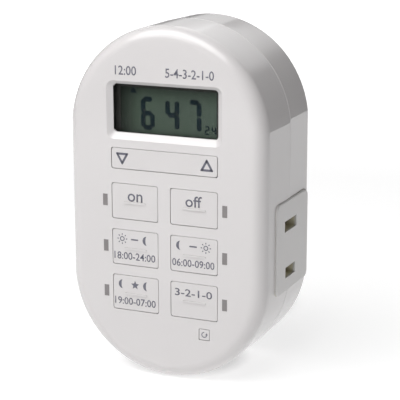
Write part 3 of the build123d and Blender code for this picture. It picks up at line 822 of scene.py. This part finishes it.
# %% Lay the figures on the glass
FIGURE_BASE = 19.5
TIME_LEFTS = {"6": -7.8, "4": -0.8, "7": 5.4}
TIME_SIZES = (4.0, 8.8, 1.35)
SMALL_LEFTS = {"2": 10.3, "4": 12.2}
SMALL_SIZES = (1.3, 2.3, 0.36)
POINTER = (-9.9, 29.6, 1.15)


def figures(lefts, sizes):
    """A row of figures, with the left edge of each and their width, height and stroke."""
    return [part for name, left in lefts.items() for part in figure(name, left, FIGURE_BASE, *sizes)]


on_glass = (glass_depth - SEGMENT_FILM, SEGMENT_FILM, segment_finish)
lay(figures(TIME_LEFTS, TIME_SIZES), "display_time", "timer", *on_glass)
lay(figures(SMALL_LEFTS, SMALL_SIZES), "display_small_figures", "timer", *on_glass)
lay([disc(*POINTER, corners=3)], "display_pointer", "timer", *on_glass)

# %% [markdown]
# ## The dark border of the display
#
# Seen from the side, the left wall of the opening and a strip of the glass behind it are almost
# black, while the lower lip is white. That black is partly the real window's black border and partly
# painted shade: the shade beside the left wall and under the top rim is painted as black film. Behind
# the clear sheet it is a flat ring on three sides, and round the opening it is a thin lining without
# a floor.

# %% Print the border behind the sheet
WINDOW_WIDTH = 29.7
WINDOW_HEIGHT = 12.8
WINDOW_RISE = 25.1
SHEET_MARGIN = 0.95
BORDER_SIDE = 1.25
BORDER_TOP = 1.0
BORDER_FILM = 0.02

# One black film for the window's border and for the painted shade in the display's recess.
black_border_and_shade = Finish("black_border_and_shade")
border_cloud = black_border_and_shade.noise(3.0)
border_and_shade_finish = black_border_and_shade.surface(
    Base_Color=black_border_and_shade.blend(border_cloud, (0.008, 0.008, 0.007), (0.02, 0.02, 0.016)),
    Roughness=0.45 + 0.15 * border_cloud,
)


def frame_line(half_width, half_height):
    """A flat rectangle round the middle of the display, open in edit mode with all of it selected."""
    flat = disc(0, WINDOW_RISE, 1.0, corners=4, turn=pi / 4)
    pick(flat, lambda place: True)
    bpy.ops.transform.resize(
        value=(half_width / cos(pi / 4), half_height / cos(pi / 4), 1),
        center_override=(0, WINDOW_RISE * MM, 0),
    )
    return flat


def in_half(place, side):
    """Whether a place lies inside the opening, in its upper half for 1 or its lower half for -1."""
    rise = (place.y - WINDOW_RISE) * side
    return abs(place.x) < WINDOW_WIDTH / 2 and 0 < rise < WINDOW_HEIGHT / 2


# The black ring stands partly for the window's border and partly for painted shade under the top rim
# and beside the left wall.
border = frame_line(WINDOW_WIDTH / 2 + SHEET_MARGIN, WINDOW_HEIGHT / 2 + SHEET_MARGIN)
bpy.ops.mesh.inset(thickness=(SHEET_MARGIN + BORDER_SIDE) * MM)
bpy.ops.mesh.delete(type="FACE")
for side, lift in ((-1, -BORDER_SIDE), (1, BORDER_SIDE - BORDER_TOP)):
    pick(border, lambda place: in_half(place, side))
    bpy.ops.transform.translate(value=(0, lift * MM, 0))
bpy.ops.object.mode_set(mode="OBJECT")
lay([border], "display_border_and_shade", "timer", glass_depth - 3 * BORDER_FILM, BORDER_FILM, border_and_shade_finish)

# %% Line the opening
LINING_FRONT = 1.15
LINING_WALL = 0.04
opening_depth = (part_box("display_window")[0].y - face_y) / MM

forward = (0, 0, (opening_depth - LINING_FRONT) * MM)
bottom = WINDOW_RISE - WINDOW_HEIGHT / 2 + LINING_WALL

# The black lining stands partly for a dark frame and partly for painted shade on the opening's side
# and top walls.
lining = frame_line(WINDOW_WIDTH / 2 - LINING_WALL, WINDOW_HEIGHT / 2 - LINING_WALL)
bpy.ops.mesh.delete(type="ONLY_FACE")
bpy.ops.mesh.select_all(action="SELECT")
bpy.ops.mesh.extrude_edges_move(TRANSFORM_OT_translate={"value": forward})
bpy.ops.mesh.select_mode(type="FACE")
bpy.ops.object.mode_set(mode="OBJECT")
for wall in lining.data.polygons:
    wall.select = wall.center.y / MM < bottom + SAME_POINT
bpy.ops.object.mode_set(mode="EDIT")
bpy.ops.mesh.delete(type="FACE")
bpy.ops.mesh.select_mode(type="VERT")
bpy.ops.object.mode_set(mode="OBJECT")
lay([lining], "opening_lining_and_shade", "timer", opening_depth, LINING_WALL / 2, border_and_shade_finish)

# %% [markdown]
# ## Floor, sky and lights
#
# The photograph has a white ground, a bright face and a greyer side. The side is glossy enough to
# mirror the ground behind it, and where the case starts to curve over, the mirror image ends in one
# step. So the ground is a strip of paper along the camera's view, with grey on both sides of it.
# The paper glows by itself, so that the shadow on it stays pale, and a little more far away. Where
# the glow is left out the paper is dark, which is painted shade: a patch behind the object, which the
# camera can't see, shades the underside, and a small patch where the case meets the paper paints a
# contact shadow.

# %% Find the parts of the paper
PAPER_EDGES = (320.0, 340.0)
SHADE_MIDDLE = (-22.0, 36.0)
SHADE_EDGES = (15.0, 34.0)
# A small patch where the case meets the paper has almost no glow: it paints a contact shadow.
CONTACT_SHADOW_MIDDLE = (-2.0, -14.0)
CONTACT_SHADOW_EDGES = (5.0, 18.0)
FAR_EDGES = (220.0, 460.0)

paper = Finish("floor_paper")
off_paper = paper.climb(paper.sideways(CAMERA_ROUND), *PAPER_EDGES)
out_of_shade = paper.climb(paper.distance(*SHADE_MIDDLE), *SHADE_EDGES)
off_contact_shadow = paper.climb(paper.distance(*CONTACT_SHADOW_MIDDLE), *CONTACT_SHADOW_EDGES)
far_off = paper.climb(paper.distance(0, 0), *FAR_EDGES)
print("the paper is", 2 * PAPER_EDGES[0] * MM, "m wide")

# %% Lay the floor
FLOOR_SIZE = 4.0
BLACK, WHITE = (0.0, 0.0, 0.0), (1.0, 1.0, 1.0)
SHADE_GLOW = (0.05, 0.05, 0.05)
NEAR_GLOW = (0.715, 0.715, 0.715)
GROUND_GREY = (0.3, 0.3, 0.3)

white_paper = paper.blend(paper.noise(60.0), (0.40, 0.40, 0.40), (0.42, 0.42, 0.42))
# The glow drops in the shade patch and in the contact patch, which paints shade on the paper.
near_glow = paper.blend(out_of_shade * off_contact_shadow, SHADE_GLOW, NEAR_GLOW)
paper_glow = paper.blend(far_off, near_glow, WHITE)
paper_finish = paper.surface(
    Base_Color=paper.blend(off_paper, white_paper, GROUND_GREY),
    Roughness=0.8,
    Emission_Color=paper.blend(off_paper, paper_glow, BLACK),
    Emission_Strength=1.0,
)

bpy.ops.object.select_all(action="DESELECT")
bpy.ops.mesh.primitive_plane_add(size=FLOOR_SIZE, location=(0, 0, floor_z))
floor = bpy.context.object
floor.name = "floor"
floor.data.materials.append(paper_finish)
print("floor lies at", round(floor_z / MM, 2), "mm")

# %% Dim the sky
SKY_STRENGTH = 0.05

sky = bpy.data.worlds.new("sky")
sky.use_nodes = True
bpy.context.scene.world = sky
background = sky.node_tree.nodes["Background"]
background.inputs["Color"].default_value = (*WHITE, 1.0)
background.inputs["Strength"].default_value = SKY_STRENGTH
bpy.context.scene.view_settings.view_transform = "Standard"
print("sky strength", SKY_STRENGTH)

# %% [markdown]
# ## Lamps
#
# A wide lamp high in front lights the face. A thin strip at the front left draws a fine bright arc
# on the rounded edge, and a lamp close above the face gives the broad one and makes the top brighter
# than the foot. The lamps behind are mirrored by the curved top, which climbs from grey to bright.
# A lamp's place is two angles and a distance, so it moves round the object one number at a time.

# %% Hang the lamps
LAMP_DISTANCE = 1.2


def soft_lamp(name, round_about, height, power, width, tall, distance=LAMP_DISTANCE):
    """A soft lamp that looks at the object.

    Its place is degrees from the front to the right, degrees up, and metres from the face. Its
    power is in watts, and its width and tallness are in metres.
    """
    turn, rise = radians(round_about), radians(height)
    toward = Vector((sin(turn) * cos(rise), -cos(turn) * cos(rise), sin(rise)))
    bpy.ops.object.light_add(type="AREA", location=on_face(0, 0) + toward * distance)
    lamp = bpy.context.object
    lamp.name = name
    lamp.rotation_euler = toward.to_track_quat("Z", "Y").to_euler()
    lamp.data.shape = "RECTANGLE"
    lamp.data.size = width
    lamp.data.size_y = tall
    lamp.data.energy = power
    lamp.visible_camera = False
    print(name, "gives", power, "W")


soft_lamp("front_left", -30, 30, power=1.9, width=0.7, tall=0.16)
soft_lamp("front_high", -20, 62, power=3.9, width=0.9, tall=0.9)
soft_lamp("near_top", -20, 60, power=1.02, width=0.4, tall=0.2, distance=0.32)
soft_lamp("back_high", 180, 40, power=2.4, width=0.9, tall=0.8)
soft_lamp("back_left_low", -150, 20, power=0.65, width=0.6, tall=0.6)
